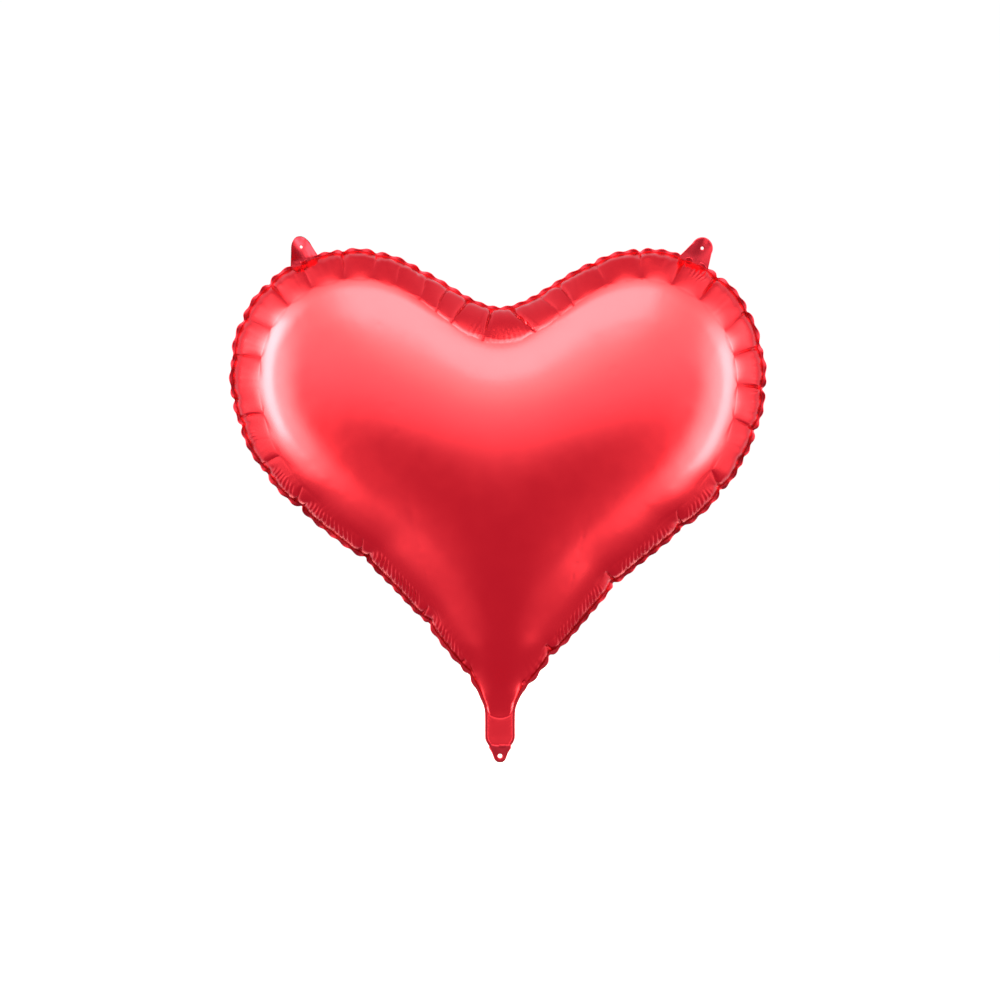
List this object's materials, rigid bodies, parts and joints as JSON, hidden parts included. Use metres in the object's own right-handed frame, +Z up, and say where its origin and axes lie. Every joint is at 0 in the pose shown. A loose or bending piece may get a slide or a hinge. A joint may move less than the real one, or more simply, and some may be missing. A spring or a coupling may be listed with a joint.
{
  "type": "heart-shaped foil balloon",
  "caption": "Inflated heart-shaped foil balloon with a puckered welded edge, a flat filling neck with an inner valve, a tail tab and hang tabs on the lobes.",
  "frame": {"origin": "centre of the hole in the tail tab, where the ribbon is tied", "axes": "+Z up towards the lobes, -Y towards the front, +X to the right seen from the front"},
  "size_m": [0.7482, 0.2984, 0.7356],
  "materials": {
    "foil": "red lacquered metallised film, satin gloss",
    "welded_foil": "two films welded flat, satin gloss",
    "valve_film": "thin clear polyethylene film",
    "valve_ink": "flat grey heat-resistant print"
  },
  "bodies": {
    "balloon": {"front_panel": "foil", "rear_panel": "foil", "edge_seam": "welded_foil", "valve_front_film": "valve_film", "valve_rear_film": "valve_film", "valve_side_welds": "valve_film", "valve_ink_print": "valve_ink"},
    "neck": {"neck_front": "foil", "neck_rear": "foil", "neck_seam": "welded_foil"},
    "tail": {"tail_tab": "welded_foil"},
    "left_hang_tab": {"left_tab": "welded_foil"},
    "right_hang_tab": {"right_tab": "welded_foil"}
  },
  "joints": [
    {"name": "neck_flex", "type": "hinge", "parent": "balloon", "child": "neck", "pos_m": [0, 0, 0.057], "axis": [1, 0, 0], "range_deg": [-90, 90], "stiffness_Nm_per_rad": 0.001, "deforming": ["valve_front_film", "valve_rear_film", "valve_side_welds", "valve_ink_print"]},
    {"name": "tail_tab_flex", "type": "hinge", "parent": "neck", "child": "tail", "pos_m": [0, 0, 0.0105], "axis": [1, 0, 0], "range_deg": [-90, 90], "stiffness_Nm_per_rad": 0.0005},
    {"name": "left_tab_flex", "type": "hinge", "parent": "balloon", "child": "left_hang_tab", "pos_m": [-0.27443, 0, 0.6954], "axis": [0.9038, 0, 0.428], "range_deg": [-90, 90], "stiffness_Nm_per_rad": 0.0005},
    {"name": "right_tab_flex", "type": "hinge", "parent": "balloon", "child": "right_hang_tab", "pos_m": [0.27443, 0, 0.6954], "axis": [0.9038, 0, -0.428], "range_deg": [-90, 90], "stiffness_Nm_per_rad": 0.0005}
  ]
}
